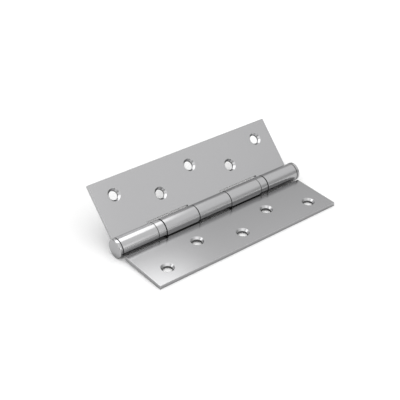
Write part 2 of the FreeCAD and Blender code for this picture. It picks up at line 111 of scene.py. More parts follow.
class Tree:
    """A node tree with short ways to add, set and link its nodes.

    Where it is a group, it has the sockets of what it is given and of what it puts out.
    """

    kind = "ShaderNodeTree"
    given: bpy.types.NodeOutputs
    sink: bpy.types.NodeInputs

    def __init__(self, tree: NodeTree) -> None:
        """Wraps a tree.

        Args:
            tree: The tree to write in.
        """
        self.tree = tree

    @classmethod
    def of(cls, data: bpy.types.ID) -> "Tree":
        """The tree of a material, a lamp or a world, switched on."""
        data.use_nodes = True
        return cls(data.node_tree)

    @classmethod
    def group(cls, name: str, inputs: dict[str, tuple], outputs: dict[str, str]) -> "Tree":
        """Makes a node group with named sockets.

        Args:
            name: Name of the group.
            inputs: Type and default of each input.
            outputs: Type of each output.

        Returns:
            The new tree.
        """
        made = cls(bpy.data.node_groups.new(name, cls.kind))
        sockets = made.tree.interface
        for label, (socket, value) in inputs.items():
            item = sockets.new_socket(label, in_out="INPUT", socket_type=f"NodeSocket{socket}")
            if value is not None:
                item.default_value = value
        for label, socket in outputs.items():
            sockets.new_socket(label, in_out="OUTPUT", socket_type=f"NodeSocket{socket}")
        made.given = made.add("NodeGroupInput").outputs
        made.sink = made.add("NodeGroupOutput").inputs
        return made

    def add(self, kind: str, settings: Optional[dict] = None, **values: object) -> bpy.types.Node:
        """Adds a node.

        Args:
            kind: The node's type name.
            settings: Properties of the node itself.
            values: Sockets by name, with underscores for spaces: a value or another socket.

        Returns:
            The node.
        """
        node = self.tree.nodes.new(kind)
        for key, value in (settings or {}).items():
            setattr(node, key, value)
        for key, value in values.items():
            self.feed(node.inputs[key.replace("_", " ")], value)
        return node

    def first(self, kind: str, settings: Optional[dict] = None, **values: object) -> NodeSocket:
        """Adds a node the same way, and gives its first output."""
        return self.add(kind, settings, **values).outputs[0]

    def feed(self, socket: NodeSocket, value: object) -> None:
        """Links a socket or sets its value.

        Args:
            socket: The input to feed.
            value: Another socket, or a plain value.
        """
        if isinstance(value, NodeSocket):
            self.tree.links.new(value, socket)
        else:
            socket.default_value = value

    def math(self, operation: str, *terms: object) -> NodeSocket:
        """Adds a Math node and gives its result.

        Args:
            operation: The operation's name.
            terms: Sockets or numbers, in order.

        Returns:
            The result's socket.
        """
        node = self.add("ShaderNodeMath", {"operation": operation})
        for socket, term in zip(node.inputs, terms):
            self.feed(socket, term)
        return node.outputs[0]

    def scaled(self, colour: NodeSocket, level: NodeSocket) -> NodeSocket:
        """A colour made lighter or darker.

        Args:
            colour: The colour.
            level: What it is multiplied by.

        Returns:
            The result's socket.
        """
        node = self.add("ShaderNodeVectorMath", {"operation": "SCALE"}, Scale=level)
        self.feed(node.inputs[0], colour)
        return node.outputs[0]

    def between(self, place: NodeSocket, bounds: Pair, softness: float) -> NodeSocket:
        """One inside two bounds, nothing outside them, with a soft step at each.

        Args:
            place: The place to test.
            bounds: The two bounds.
            softness: Half the width of each step.

        Returns:
            The result's socket.
        """
        steps = []
        for bound in bounds:
            ends = {"From_Min": bound - softness, "From_Max": bound + softness}
            eased = {"interpolation_type": "SMOOTHSTEP"}
            steps.append(self.first("ShaderNodeMapRange", eased, Value=place, **ends))
        return self.math("SUBTRACT", *steps)

    def within(self, places: Iterable[NodeSocket], bounds: Iterable[Pair], softness: Pair) -> NodeSocket:
        """One inside a rectangle, nothing outside it, with soft edges."""
        return self.math("MULTIPLY", *map(self.between, places, bounds, softness))


class ShapeTree(Tree):
    """A geometry tree with short ways to place, cut and finish shapes."""

    kind = "GeometryNodeTree"

    def moved(self, shape: NodeSocket, **change: object) -> NodeSocket:
        """A shape after a Translation or a Rotation."""
        return self.first("GeometryNodeTransform", Geometry=shape, **change)

    def ring(self, count: NodeSocket, radius: NodeSocket) -> NodeSocket:
        """Points evenly spaced on a circle about X."""
        circle = self.first("GeometryNodeMeshCircle", Vertices=count, Radius=radius)
        return self.moved(circle, Rotation=LAID)

    def realized(self, shape: NodeSocket) -> NodeSocket:
        """A shape with its instances made real."""
        return self.first("GeometryNodeRealizeInstances", Geometry=shape)

    def spread(self, points: NodeSocket, shape: NodeSocket) -> NodeSocket:
        """A real copy of a shape at each point."""
        return self.realized(self.first("GeometryNodeInstanceOnPoints", Points=points, Instance=shape))

    def cut(self, solid: NodeSocket, *cutters: NodeSocket) -> NodeSocket:
        """A solid without what its cutters take away.

        Args:
            solid: The solid.
            cutters: Closed shapes.

        Returns:
            The cut solid.
        """
        node = self.add("GeometryNodeMeshBoolean", {"operation": "DIFFERENCE", "solver": "EXACT"})
        self.feed(node.inputs["Mesh 1"], solid)
        for cutter in cutters:
            self.feed(node.inputs["Mesh 2"], cutter)
        return self.realized(node.outputs[0])

    def finished(self, shape: NodeSocket, finish: NodeSocket, **where: NodeSocket) -> NodeSocket:
        """A shape with a finish, all over or where a Selection says."""
        return self.first("GeometryNodeSetMaterial", Geometry=shape, Material=finish, **where)


# Geometry Nodes: what repeats in the hinge.


def punched_sheet_tree() -> NodeTree:
    """Tree that notches a rolled sheet and sinks a screw hole at each place.

    Returns:
        The geometry tree.
    """
    made = ShapeTree.group(
        "punched_sheet",
        {
            "Sheet": ("Geometry", None),
            "Places": ("Object", None),
            "Notches": ("Object", None),
            "Hole Radius": ("Float", 1.0),
            "Sink Radius": ("Float", 2.0),
            "Sink Slope": ("Float", 1.0),
            "Face Height": ("Float", 0.0),
            "Segments": ("Int", 64),
            "Sheet Finish": ("Material", None),
            "Sink Finish": ("Material", None),
        },
        {"Leaf": "Geometry"},
    )
    given = made.given
    face, wide, slope, count = (given[x] for x in ("Face Height", "Sink Radius", "Sink Slope", "Segments"))
    shank_share, mouth_share = 4.0, 1.2
    shank_size = {"Radius": given["Hole Radius"], "Depth": made.math("MULTIPLY", wide, shank_share)}
    shank = made.first("GeometryNodeMeshCylinder", Vertices=count, **shank_size)
    mouth = made.math("MULTIPLY", wide, mouth_share)
    cone_size = {"Radius_Top": mouth, "Radius_Bottom": 0.0, "Depth": made.math("MULTIPLY", mouth, slope)}
    cone = made.first("GeometryNodeMeshCone", Vertices=count, **cone_size)
    tip = made.math("SUBTRACT", face, made.math("MULTIPLY", wide, slope))
    places, notches = (
        made.add("GeometryNodeObjectInfo", Object=given[name]).outputs["Geometry"]
        for name in ("Places", "Notches")
    )
    cutters = []
    for shape, height in ((shank, face), (cone, tip)):
        lift = made.first("ShaderNodeCombineXYZ", Z=height)
        cutter = made.first(
            "GeometryNodeStoreNamedAttribute",
            {"data_type": "BOOLEAN", "domain": "FACE"},
            Geometry=made.spread(places, made.moved(shape, Translation=lift)),
            Name="sunk",
            Value=True,
        )
        cutters.append(cutter)
    leaf = made.finished(made.cut(given["Sheet"], *cutters, notches), given["Sheet Finish"])
    sunk = made.first("GeometryNodeInputNamedAttribute", {"data_type": "BOOLEAN"}, Name="sunk")
    dressed = made.finished(leaf, given["Sink Finish"], Selection=sunk)
    made.feed(made.sink["Leaf"], dressed)
    return made.tree


def ball_ring_tree() -> NodeTree:
    """Tree that sets a ring of balls about X.

    Returns:
        The geometry tree.
    """
    made = ShapeTree.group(
        "ball_ring",
        {
            "Geometry": ("Geometry", None),
            "Count": ("Int", 8),
            "Ring Radius": ("Float", 5.0),
            "Ball Radius": ("Float", 0.8),
            "Finish": ("Material", None),
        },
        {"Geometry": "Geometry"},
    )
    given = made.given
    ball = made.first("GeometryNodeMeshUVSphere", Segments=40, Rings=20, Radius=given["Ball Radius"])
    balls = made.spread(made.ring(given["Count"], given["Ring Radius"]), ball)
    made.feed(made.sink["Geometry"], made.finished(balls, given["Finish"]))
    return made.tree


def cage_tree() -> NodeTree:
    """Tree that bores a ring of pockets through a flat washer about X.

    Returns:
        The geometry tree.
    """
    made = ShapeTree.group(
        "ball_cage",
        {
            "Washer": ("Geometry", None),
            "Count": ("Int", 8),
            "Ring Radius": ("Float", 5.0),
            "Pocket Radius": ("Float", 0.8),
            "Depth": ("Float", 3.0),
            "Finish": ("Material", None),
        },
        {"Cage": "Geometry"},
    )
    given = made.given
    size = {"Radius": given["Pocket Radius"], "Depth": given["Depth"]}
    pocket = made.moved(made.first("GeometryNodeMeshCylinder", Vertices=40, **size), Rotation=LAID)
    pockets = made.spread(made.ring(given["Count"], given["Ring Radius"]), pocket)
    cage = made.cut(given["Washer"], pockets)
    made.feed(made.sink["Cage"], made.finished(cage, given["Finish"]))
    return made.tree


# Finishes: a shader group that the steels share, and one small class for each kind.


def grain_group() -> NodeTree:
    """Shader group for the lines that rolling, turning or grinding leave in steel.

    Returns:
        The group. It puts out a roughness, a base colour and a normal.
    """
    made = Tree.group(
        "steel_grain",
        {
            "Vector": ("Vector", None),
            "Colour": ("Color", (0.6, 0.6, 0.6, 1.0)),
            "Roughness": ("Float", 0.3),
            "Variation": ("Float", 0.05),
            "Line Depth": ("Float", 0.1),
            "Cloud Scale": ("Float", 40.0),
        },
        {"Colour": "Color", "Roughness": "Float", "Normal": "Vector"},
    )
    given = made.given
    unevenness, deepest = 0.04, 0.02 * MM
    place = made.add("ShaderNodeTexCoord").outputs["Object"]
    fine, coarse = {"Detail": 3.0, "Roughness": 0.6}, {"Detail": 2.0, "Roughness": 0.5}
    lines = made.first("ShaderNodeTexNoise", Vector=given["Vector"], Scale=1.0, **fine)
    clouds = made.first("ShaderNodeTexNoise", Vector=place, Scale=given["Cloud Scale"], **coarse)
    swing = made.math("SUBTRACT", made.math("ADD", lines, clouds), 1.0)
    rough = made.math("MULTIPLY_ADD", swing, given["Variation"], given["Roughness"])
    shade = made.math("MULTIPLY_ADD", made.math("SUBTRACT", lines, 0.5), unevenness, 1.0)
    bump = made.first("ShaderNodeBump", Strength=given["Line Depth"], Distance=deepest, Height=lines)
    made.feed(made.sink["Colour"], made.scaled(given["Colour"], shade))
    made.feed(made.sink["Roughness"], rough)
    made.feed(made.sink["Normal"], bump)
    return made.tree


class Lay(Enum):
    """Which way the tool marks run, as the scale of their noise on each axis.

    Round the pin, the axes are the place along it, the distance from it and the place across it.
    """

    ALONG_PIN = (60.0, 4000.0, 4000.0)
    ROUND_PIN = (6000.0, 6000.0, 60.0)
    ROUND_SINK = (40.0, 40.0, 9000.0)
    EVEN = (900.0, 900.0, 900.0)


@dataclass(frozen=True)
class Finish:
    """A finish, made once and then found by its name."""

    name: str
    colour: Triple
    roughness: float

    def material(self) -> Material:
        """Makes the finish, or finds it if it is made.

        Returns:
            The material.
        """
        found = bpy.data.materials.get(self.name)
        if found is None:
            found = bpy.data.materials.new(self.name)
            made = Tree.of(found)
            place = made.add("ShaderNodeTexCoord").outputs["Object"]
            shader = made.tree.nodes["Principled BSDF"].inputs
            for socket, value in self.look(made, place).items():
                made.feed(shader[socket], value)
        return found

    def look(self, made: Tree, place: NodeSocket) -> dict[str, object]:
        """Values and sockets for the shader's inputs, from the Object coordinates."""
        raise NotImplementedError


@dataclass(frozen=True)
class Steel(Finish):
    """A bare steel finish."""

    variation: float = 0.04
    line_depth: float = 0.06
    lay: Lay = Lay.ALONG_PIN
    tilt: float = 0.0
    mirrored: float = 0.8

    def marks(self, made: Tree, place: NodeSocket) -> NodeSocket:
        """Stretches the Object coordinates so that noise runs the way of the tool marks.

        Args:
            made: The material's tree.
            place: Object coordinates.

        Returns:
            The stretched coordinates.
        """
        if self.lay is Lay.ROUND_PIN:
            centre = SWING["pos_m"]
            moved = made.first("ShaderNodeMapping", Vector=place, Location=(0.0, -centre[1], -centre[2]))
            along, across, up = made.add("ShaderNodeSeparateXYZ", Vector=moved).outputs
            squares = [made.math("MULTIPLY", part, part) for part in (across, up)]
            out = made.math("SQRT", made.math("ADD", *squares))
            own = made.first("ShaderNodeCombineXYZ", X=along, Y=out, Z=across)
        else:
            turn = (self.tilt, 0.0, 0.0)
            own = made.first("ShaderNodeMapping", {"vector_type": "TEXTURE"}, Vector=place, Rotation=turn)
        return made.first("ShaderNodeMapping", Vector=own, Scale=self.lay.value)

    def look(self, made: Tree, place: NodeSocket) -> dict[str, object]:
        """What the shader's inputs get.

        Steel that is mirrored in steel shows darker, which keeps the clefts of the barrel deep.

        Args:
            made: The material's tree.
            place: Object coordinates.

        Returns:
            Values and sockets by the name of the input.
        """
        grain = made.add(
            "ShaderNodeGroup",
            {"node_tree": bpy.data.node_groups["steel_grain"]},
            Vector=self.marks(made, place),
            Colour=(*self.colour, 1.0),
            Roughness=self.roughness,
            Variation=self.variation,
            Line_Depth=self.line_depth,
        ).outputs
        depth = made.add("ShaderNodeLightPath").outputs["Ray Depth"]
        shown = made.scaled(grain["Colour"], made.math("POWER", self.mirrored, depth))
        look = {"Metallic": 1.0, "Base Color": shown}
        return look | {name: grain[name] for name in ("Roughness", "Normal")}


@dataclass(frozen=True)
class Nylon(Finish):
    """A moulded nylon finish."""

    mottle: float = 0.1

    def look(self, made: Tree, place: NodeSocket) -> dict[str, object]:
        """What the shader's inputs get.

        Args:
            made: The material's tree.
            place: Object coordinates.

        Returns:
            Values and sockets by the name of the input.
        """
        cloud = made.first("ShaderNodeTexNoise", Vector=place, Scale=900.0, Detail=2.0)
        rough = made.math("MULTIPLY_ADD", cloud, self.mottle, self.roughness - self.mottle / 2)
        return {"Base Color": (*self.colour, 1.0), "Roughness": rough}


# Painted shade: near-black steel on the faces inside the seams between barrel pieces, on the knuckle ends
# and on the lip of the roll, where the gaps fall in shade.
SEAM_SHADE = Steel("painted_seam_shade", (0.12, 0.12, 0.12), 0.5, lay=Lay.EVEN)
NYLON = Nylon("natural_nylon", (0.86, 0.84, 0.78), 0.45)


# Meshes.


def show(name: str, data: bpy.types.ID) -> Object:
    """Puts a mesh, a lamp or a camera in the scene as an object at the origin.

    Args:
        name: Name of the object.
        data: What it shows.

    Returns:
        The object.
    """
    made = bpy.data.objects.new(name, data)
    bpy.context.scene.collection.objects.link(made)
    return made


def forget(*objects: Object) -> None:
    """Removes helper objects from the file."""
    for item in objects:
        bpy.data.objects.remove(item)


def worked(
    mesh: Mesh, kind: str, settings: dict[str, object], inputs: Optional[dict[str, object]] = None
) -> Mesh:
    """Works one modifier into a mesh.

    Args:
        mesh: The mesh to start from.
        kind: The modifier's type.
        settings: Its properties.
        inputs: Values by the name of their input, where it runs a geometry tree.

    Returns:
        The result as a plain mesh.
    """
    item = show("work", mesh)
    modifier = item.modifiers.new("work", kind)
    for key, value in settings.items():
        setattr(modifier, key, value)
    if inputs:
        for socket in modifier.node_group.interface.items_tree:
            if socket.in_out == "INPUT" and socket.name in inputs:
                modifier[socket.identifier] = inputs[socket.name]
    graph = bpy.context.evaluated_depsgraph_get()
    graph.update()
    result = bpy.data.meshes.new_from_object(
        item.evaluated_get(graph), preserve_all_data_layers=True, depsgraph=graph
    )
    forget(item)
    return result


def arc_points(centre: Pair, radius: float, start: float, end: float, step: float) -> list[Pair]:
    """Points on an arc, both ends included.

    Args:
        centre: Centre of the arc.
        radius: Its radius.
        start: Angle of its first point, in degrees.
        end: Angle of its last point, in degrees.
        step: Largest angle between points, in degrees.

    Returns:
        The points in order.
    """
    count = max(1, math.ceil(abs(end - start) / step))
    angles = [math.radians(start + (end - start) * i / count) for i in range(count + 1)]
    return [(centre[0] + radius * math.cos(a), centre[1] + radius * math.sin(a)) for a in angles]


def prism(outline: Sequence[Pair], low: float, high: float, along: str) -> Solid:
    """Corners and faces of a prism over an outline that runs anticlockwise.

    Args:
        outline: Corners of the outline: across and up for a prism along X, X and Y for one along Z.
        low: Start of the prism.
        high: End of the prism.
        along: X or Z.

    Returns:
        The corners and the faces, which point outwards.
    """
    corners = []
    for end in (low, high):
        for first, second in outline:
            corners.append((end, first, second) if along == "X" else (first, second, end))
    count = len(outline)
    faces = [list(reversed(range(count))), list(range(count, 2 * count))]
    for i in range(count):
        j = (i + 1) % count
        faces.append([i, j, count + j, count + i])
    return corners, faces


def mesh_of(name: str, solids: Iterable[Solid]) -> Mesh:
    """One mesh of several solids.

    Args:
        name: Name of the mesh.
        solids: Corners and faces of each.

    Returns:
        The mesh.
    """
    corners, faces = [], []
    for some_corners, some_faces in solids:
        start = len(corners)
        corners.extend(some_corners)
        faces.extend([index + start for index in face] for face in some_faces)
    mesh = bpy.data.meshes.new(name)
    mesh.from_pydata(corners, [], faces)
    mesh.update()
    return mesh


def rounded(corners: Sequence[Triple], closed: bool, segments: int = 4) -> list[Pair]:
    """An outline with each corner eased by its own radius.

    Args:
        corners: Place along the pin, radius from the axis and easing of each corner.
        closed: Whether the outline closes on itself.
        segments: Facets of each easing.

    Returns:
        The points of the eased outline.
    """
    points = []
    count = len(corners)
    for i, (along, out, ease) in enumerate(corners):
        here = Vector((along, out))
        ends = not closed and i in (0, count - 1)
        if ease <= 0 or ends:
            points.append((along, out))
            continue
        before = Vector(corners[i - 1][:2])
        after = Vector(corners[(i + 1) % count][:2])
        back, on = (before - here).normalized(), (after - here).normalized()
        half = back.angle(on) / 2
        reach = ease / math.tan(half)
        centre = here + (back + on).normalized() * (ease / math.sin(half))
        first, last = here + back * reach - centre, here + on * reach - centre
        for k in range(segments + 1):
            point = centre + first.slerp(last, k / segments).normalized() * ease
            points.append((point.x, point.y))
    return points


def turned_solid(corners: Sequence[Triple], segments: int) -> Solid:
    """Corners and faces of a solid turned about X.

    Args:
        corners: Place along X, radius and easing of each corner, anticlockwise with X to the right
            and the radius up. They close on themselves, unless the first one is on the axis.
        segments: Facets round the axis.

    Returns:
        The corners and the faces, which point outwards.
    """
    closed = corners[0][1] > NOTHING
    places, rings = [], []
    for along, out in rounded(corners, closed):
        if out < NOTHING:
            rings.append([len(places)] * segments)
            places.append((along, 0.0, 0.0))
            continue
        rings.append([len(places) + k for k in range(segments)])
        for k in range(segments):
            angle = 2 * math.pi * k / segments
            places.append((along, out * math.cos(angle), out * math.sin(angle)))
    following = rings[1:] + (rings[:1] if closed else [])
    faces = []
    for ring, after in zip(rings, following):
        for k in range(segments):
            j = (k + 1) % segments
            faces.append(list(dict.fromkeys([ring[k], after[k], after[j], ring[j]])))
    return places, faces


def smooth(mesh: Mesh, limit: float = 40.0) -> Mesh:
    """Shades a mesh smooth, with normals led by its large faces, so that flats stay flat.

    Args:
        mesh: The mesh, in its last place.
        limit: Angle between faces past which an edge shows as sharp, in degrees.

    Returns:
        The new mesh.
    """
    mesh.shade_smooth()
    mesh.set_sharp_from_angle(angle=math.radians(limit))
    return worked(mesh, "WEIGHTED_NORMAL", {"weight": 80, "keep_sharp": True})


def stand_in(mesh: Mesh, name: str, body: str, slot: str, nodes: Sequence[str]) -> Object:
    """Shows a finished mesh in place of solids of the frame.

    Args:
        mesh: The mesh, in the row frame, in metres.
        name: Name of the piece.
        body: Body that it moves with.
        slot: The record's material slot; not used.
        nodes: Nodes that it stands for.

    Returns:
        The piece.
    """
    mesh.name = name
    piece = show(name, mesh)
    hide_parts(*nodes)
    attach(piece, body)
    LOG.info("%s: %d faces on %s", name, len(mesh.polygons), body)
    return piece


# Sub-assemblies.


@dataclass
class Barrel:
    """What the pieces of the barrel share: its axis, its radius and the places along it."""

    length: float = 152.4
    end_knuckle: float = 27.8
    side_knuckle: float = 27.35
    bearing_length: float = 7.0
    knuckle_gap: float = 0.6
    thickness: float = 2.75
    pin_play: float = 0.05
    press_play: float = 0.01
    segments: int = 144
    face_margin: float = 0.02
    seam_slope: float = 0.19
    button_reach: float = 1.0
    raised: float = 180.0 - SWING["range_deg"][1]
    axis: Vector = field(default_factory=lambda: Vector(SWING["pos_m"]))

    @cached_property
    def radius(self) -> float:
        """Outer radius, as the pin's head has it in the frame."""
        low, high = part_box("hinge_pin")
        return (high.y - low.y) / 2 / MM

    @property
    def bore_radius(self) -> float:
        """Inner radius of the knuckles."""
        return self.radius - self.thickness

    def turn(self, side: Side) -> Matrix:
        """From a leaf's own millimetres, pin on X and leaf towards +Y, to the row frame.

        Args:
            side: Which leaf.

        Returns:
            The matrix.
        """
        centre = Matrix.Translation((0.0, self.axis.y, self.axis.z))
        start = Matrix.Scale(MM, 4) @ Matrix.Translation((-self.length / 2, 0.0, 0.0))
        if side is Side.RAISED:
            return centre @ Matrix.Rotation(math.radians(self.raised), 4, "X") @ start
        return centre @ Matrix.Scale(-1.0, 4, (0.0, 1.0, 0.0)) @ start

    def turned(self, name: str, corners: Sequence[Triple]) -> Mesh:
        """A mesh turned about the pin's axis, in millimetres, from corners with their easing."""
        return mesh_of(name, [turned_solid(corners, self.segments)])

    def piece(
        self,
        node: str,
        kind: str,
        corners: Sequence[Triple],
        side: Side,
        finish: Steel,
        slot: str,
        depth: float,
    ) -> Object:
        """Makes a turned piece of steel, with painted shade on the faces at its ends that look into the
        seams.

        Args:
            node: The node that it stands for.
            kind: How its name ends.
            corners: Place, radius and easing of each corner, anticlockwise.
            side: Which leaf it turns with.
            finish: The finish of what shows.
            slot: The record's material slot.
            depth: How far in from the barrel's face the painted seam shade reaches.

        Returns:
            The piece.
        """
        mesh = self.turned(node, corners)
        for each in (finish, SEAM_SHADE):
            mesh.materials.append(each.material())
        # Painted shade: the faces that look into the seams get the near-black seam steel.
        for face in mesh.polygons:
            out = math.hypot(face.center.y, face.center.z)
            inside = self.radius - depth < out < self.radius - self.face_margin
            face.material_index = int(inside and self.takes_seam_shade(face))
        self.settle(mesh, side)
        return stand_in(smooth(mesh), f"{node}_{kind}", side.value, slot, [node])

    def takes_seam_shade(self, face: bpy.types.MeshPolygon) -> bool:
        """Whether a face looks along the pin, from between the barrel's two ends, and so gets painted seam
        shade.
        """
        between = -self.button_reach < face.center.x < self.length + self.button_reach
        return between and abs(face.normal.x) > self.seam_slope

    def settle(self, mesh: Mesh, side: Side) -> None:
        """Puts a mesh from a leaf's own millimetres in the row frame, faces outwards.

        Args:
            mesh: The mesh.
            side: Which leaf it turns with.
        """
        matrix = self.turn(side)
        mesh.transform(matrix)
        if matrix.determinant() < 0:
            mesh.flip_normals()
        mesh.update()


@dataclass
class Leaf:
    """A leaf: one sheet with its edge rolled into knuckles, notched and drilled."""

    barrel: Barrel
    side: Side
    node: str
    spans: list[Pair]
    reach: float = 44.45
    axis_height: float = 2.4
    root_bend: float = 4.0
    curl_gap: float = 0.75
    notch_clearance: float = 1.3
    notch_corner: float = 0.6
    outer_row: float = 32.6
    inner_row: float = 22.0
    from_head_end: Pair = (14.8, 47.1)
    past_middle: float = 1.1
    from_plug_end: Pair = (44.2, 14.2)
    hole_radius: float = 3.2
    sink_radius: float = 4.55
    sink_angle: float = 90.0
    easing: float = 0.23
    fine_step: float = 2.5
    sharp_angle: float = 25.0
    hole_margin: float = 0.1
    roll_margin: float = 0.01
    slot_reach: float = 1.0
    bore_slope: float = 0.3
    end_slope: float = 0.6
    face_slope: float = 0.995

    def section(self) -> list[Pair]:
        """Outline of the sheet across the pin, anticlockwise.

        Returns:
            Places out from the pin and up from it.
        """
        outer, bore = self.barrel.radius, self.barrel.bore_radius
        inner_face = -self.axis_height
        back_face = inner_face - self.barrel.thickness
        drop = back_face - self.root_bend
        spread = outer + self.root_bend
        bend = (math.sqrt(spread * spread - drop * drop), drop)
        root = math.degrees(math.atan2(bend[1], bend[0]))
        curl = -math.degrees(math.asin((self.axis_height - self.curl_gap) / outer)) - 360.0
        towards_pin = root + 180.0
        points = [(self.reach, back_face), (self.reach, inner_face)]
        wide, step = self.root_bend + self.barrel.thickness, self.fine_step
        points += arc_points(bend, wide, 90.0, towards_pin, step)
        points += arc_points((0.0, 0.0), bore, root, curl, step)[1:]
        points += arc_points((0.0, 0.0), outer, curl, root, step)
        points += arc_points(bend, self.root_bend, towards_pin, 90.0, step)[1:]
        return points

    def notches(self) -> Mesh:
        """Blocks that clear the barrel where the other leaf's knuckles go.

        Returns:
            Their mesh.
        """
        past, clear = -1.5 * self.barrel.radius, 2.0 * self.barrel.radius
        edge = self.barrel.radius + self.notch_clearance
        solids = []
        for start, end in self.spans:
            corners = [(start, past, 0.0), (end, past, 0.0)]
            corners += [(end, edge, self.notch_corner), (start, edge, self.notch_corner)]
            solids.append(prism(rounded(corners, True, segments=6), -clear, clear, "Z"))
        return mesh_of("notches", solids)

    def hole_places(self) -> list[Triple]:
        """Centres of the five screw holes.

        Returns:
            Their places in the leaf's own frame.
        """
        length = self.barrel.length
        return [
            (self.from_head_end[0], self.outer_row, 0.0),
            (self.from_head_end[1], self.inner_row, 0.0),
            (length / 2 + self.past_middle, self.outer_row, 0.0),
            (length - self.from_plug_end[0], self.inner_row, 0.0),
            (length - self.from_plug_end[1], self.outer_row, 0.0),
        ]

    def edge_share(self, edge: bmesh.types.BMEdge) -> float:
        """How much of the easing an edge gets.

        Args:
            edge: An edge of the punched sheet.

        Returns:
            A share from 0 to 1.
        """
        if len(edge.link_faces) != 2 or edge.calc_face_angle(0.0) < math.radians(self.sharp_angle):
            return 0.0
        middle = (edge.verts[0].co + edge.verts[1].co) / 2
        for along, row, _ in self.hole_places():
            if math.hypot(middle.x - along, middle.y - row) < self.sink_radius + self.hole_margin:
                return Easing.HOLE.value
        at_end = min(middle.x, self.barrel.length - middle.x) < NEAR
        if middle.y > self.reach - NEAR or (at_end and middle.y > self.barrel.radius):
            return Easing.SHEARED.value
        if middle.y < self.barrel.radius:
            return Easing.KNUCKLE.value
        return Easing.NOTCH.value

    def dress(self, mesh: Mesh) -> None:
        """Gives the faces that were cut or sheared their finish, by where they are, and paints shade on
        the bore of each hole, on the knuckle ends and on the lip of the roll.

        Args:
            mesh: The eased sheet, in the leaf's own millimetres.
        """
        for face in mesh.polygons:
            upright = abs(face.normal.z)
            if face.material_index == LeafFace.SUNK:
                # Painted shade on the bore of each hole.
                if upright < self.bore_slope:
                    face.material_index = LeafFace.LAND_SHADE
            elif face.center.y < self.barrel.radius:
                # Painted shade on the knuckle ends and on the lip of the roll over the slot.
                if abs(face.normal.x) > self.end_slope or self.in_slot(face):
                    face.material_index = LeafFace.KNUCKLE_END_SHADE
            elif upright < self.face_slope:
                face.material_index = LeafFace.SHEARED

    def in_slot(self, face: bpy.types.MeshPolygon) -> bool:
        """Whether a face is the end of the roll, which looks down on the leaf, and so gets painted shade.

        Args:
            face: A face of the eased sheet.

        Returns:
            Whether it is.
        """
        _, out, height = face.center
        inside, outside = self.barrel.bore_radius, self.barrel.radius - self.roll_margin
        level = abs(height + self.axis_height - self.curl_gap) < self.slot_reach
        return level and out > 0.0 and inside < math.hypot(out, height) < outside

    def eased(self, mesh: Mesh) -> Mesh:
        """The leaf with its sharp edges eased, each by its own share.

        Args:
            mesh: The punched sheet.

        Returns:
            The new mesh.
        """
        work = bmesh.new()
        work.from_mesh(mesh)
        bmesh.ops.remove_doubles(work, verts=work.verts, dist=NOTHING)
        bmesh.ops.dissolve_degenerate(work, edges=work.edges, dist=NOTHING)
        whole = [*work.verts, *work.edges, *work.faces]
        root = (0.0, self.barrel.radius, 0.0)
        bmesh.ops.bisect_plane(work, geom=whole, dist=NOTHING, plane_co=root, plane_no=(0.0, 1.0, 0.0))
        weight = work.edges.layers.float.new("bevel_weight_edge")
        for edge in work.edges:
            edge[weight] = self.edge_share(edge)
        work.to_mesh(mesh)
        work.free()
        bevel = {
            "limit_method": "WEIGHT",
            "width": self.easing,
            "segments": 3,
            "use_clamp_overlap": False,
            "miter_outer": "MITER_ARC",
        }
        return worked(mesh, "BEVEL", bevel)

    def build(self, tree: NodeTree) -> Object:
        """Builds and dresses the leaf.

        Args:
            tree: The tree that notches and drills a sheet.

        Returns:
            The piece.
        """
        tilt = math.radians(self.barrel.raised) if self.side is Side.RAISED else 0.0
        face = Steel("satin_sheet", STEEL_COLOUR, 0.2)
        sink = Steel(f"sunk_{self.side.value}", STEEL_COLOUR, 0.2, lay=Lay.ROUND_SINK, tilt=tilt)
        # Painted shade: the bore of each screw hole is near-black steel.
        land_shade = Steel("painted_land_shade", (0.18, 0.18, 0.18), 0.4, lay=Lay.EVEN)
        edge = Steel("sheared_edge", (0.42, 0.42, 0.425), 0.35, lay=Lay.EVEN)
        sheet = mesh_of("sheet", [prism(self.section(), 0.0, self.barrel.length, "X")])
        places = bpy.data.meshes.new("places")
        places.from_pydata(self.hole_places(), [], [])
        holes, blocks = show("holes", places), show("blocks", self.notches())
        cut = worked(
            sheet,
            "NODES",
            {"node_group": tree},
            {
                "Places": holes,
                "Notches": blocks,
                "Hole Radius": self.hole_radius,
                "Sink Radius": self.sink_radius,
                "Sink Slope": 1.0 / math.tan(math.radians(self.sink_angle / 2)),
                "Face Height": -self.axis_height,
                "Sheet Finish": face.material(),
                "Sink Finish": sink.material(),
            },
        )
        forget(holes, blocks)
        sunk = cut.materials.find(sink.name)
        kinds = {True: LeafFace.SUNK, False: LeafFace.SHEET}
        indices = [kinds[polygon.material_index == sunk] for polygon in cut.polygons]
        cut.materials.clear()
        for finish in (face, sink, land_shade, edge, SEAM_SHADE):
            cut.materials.append(finish.material())
        cut.polygons.foreach_set("material_index", indices)
        done = self.eased(cut)
        self.dress(done)
        self.barrel.settle(done, self.side)
        return stand_in(smooth(done), f"{self.node}_sheet", self.side.value, "leaf_steel", [self.node])


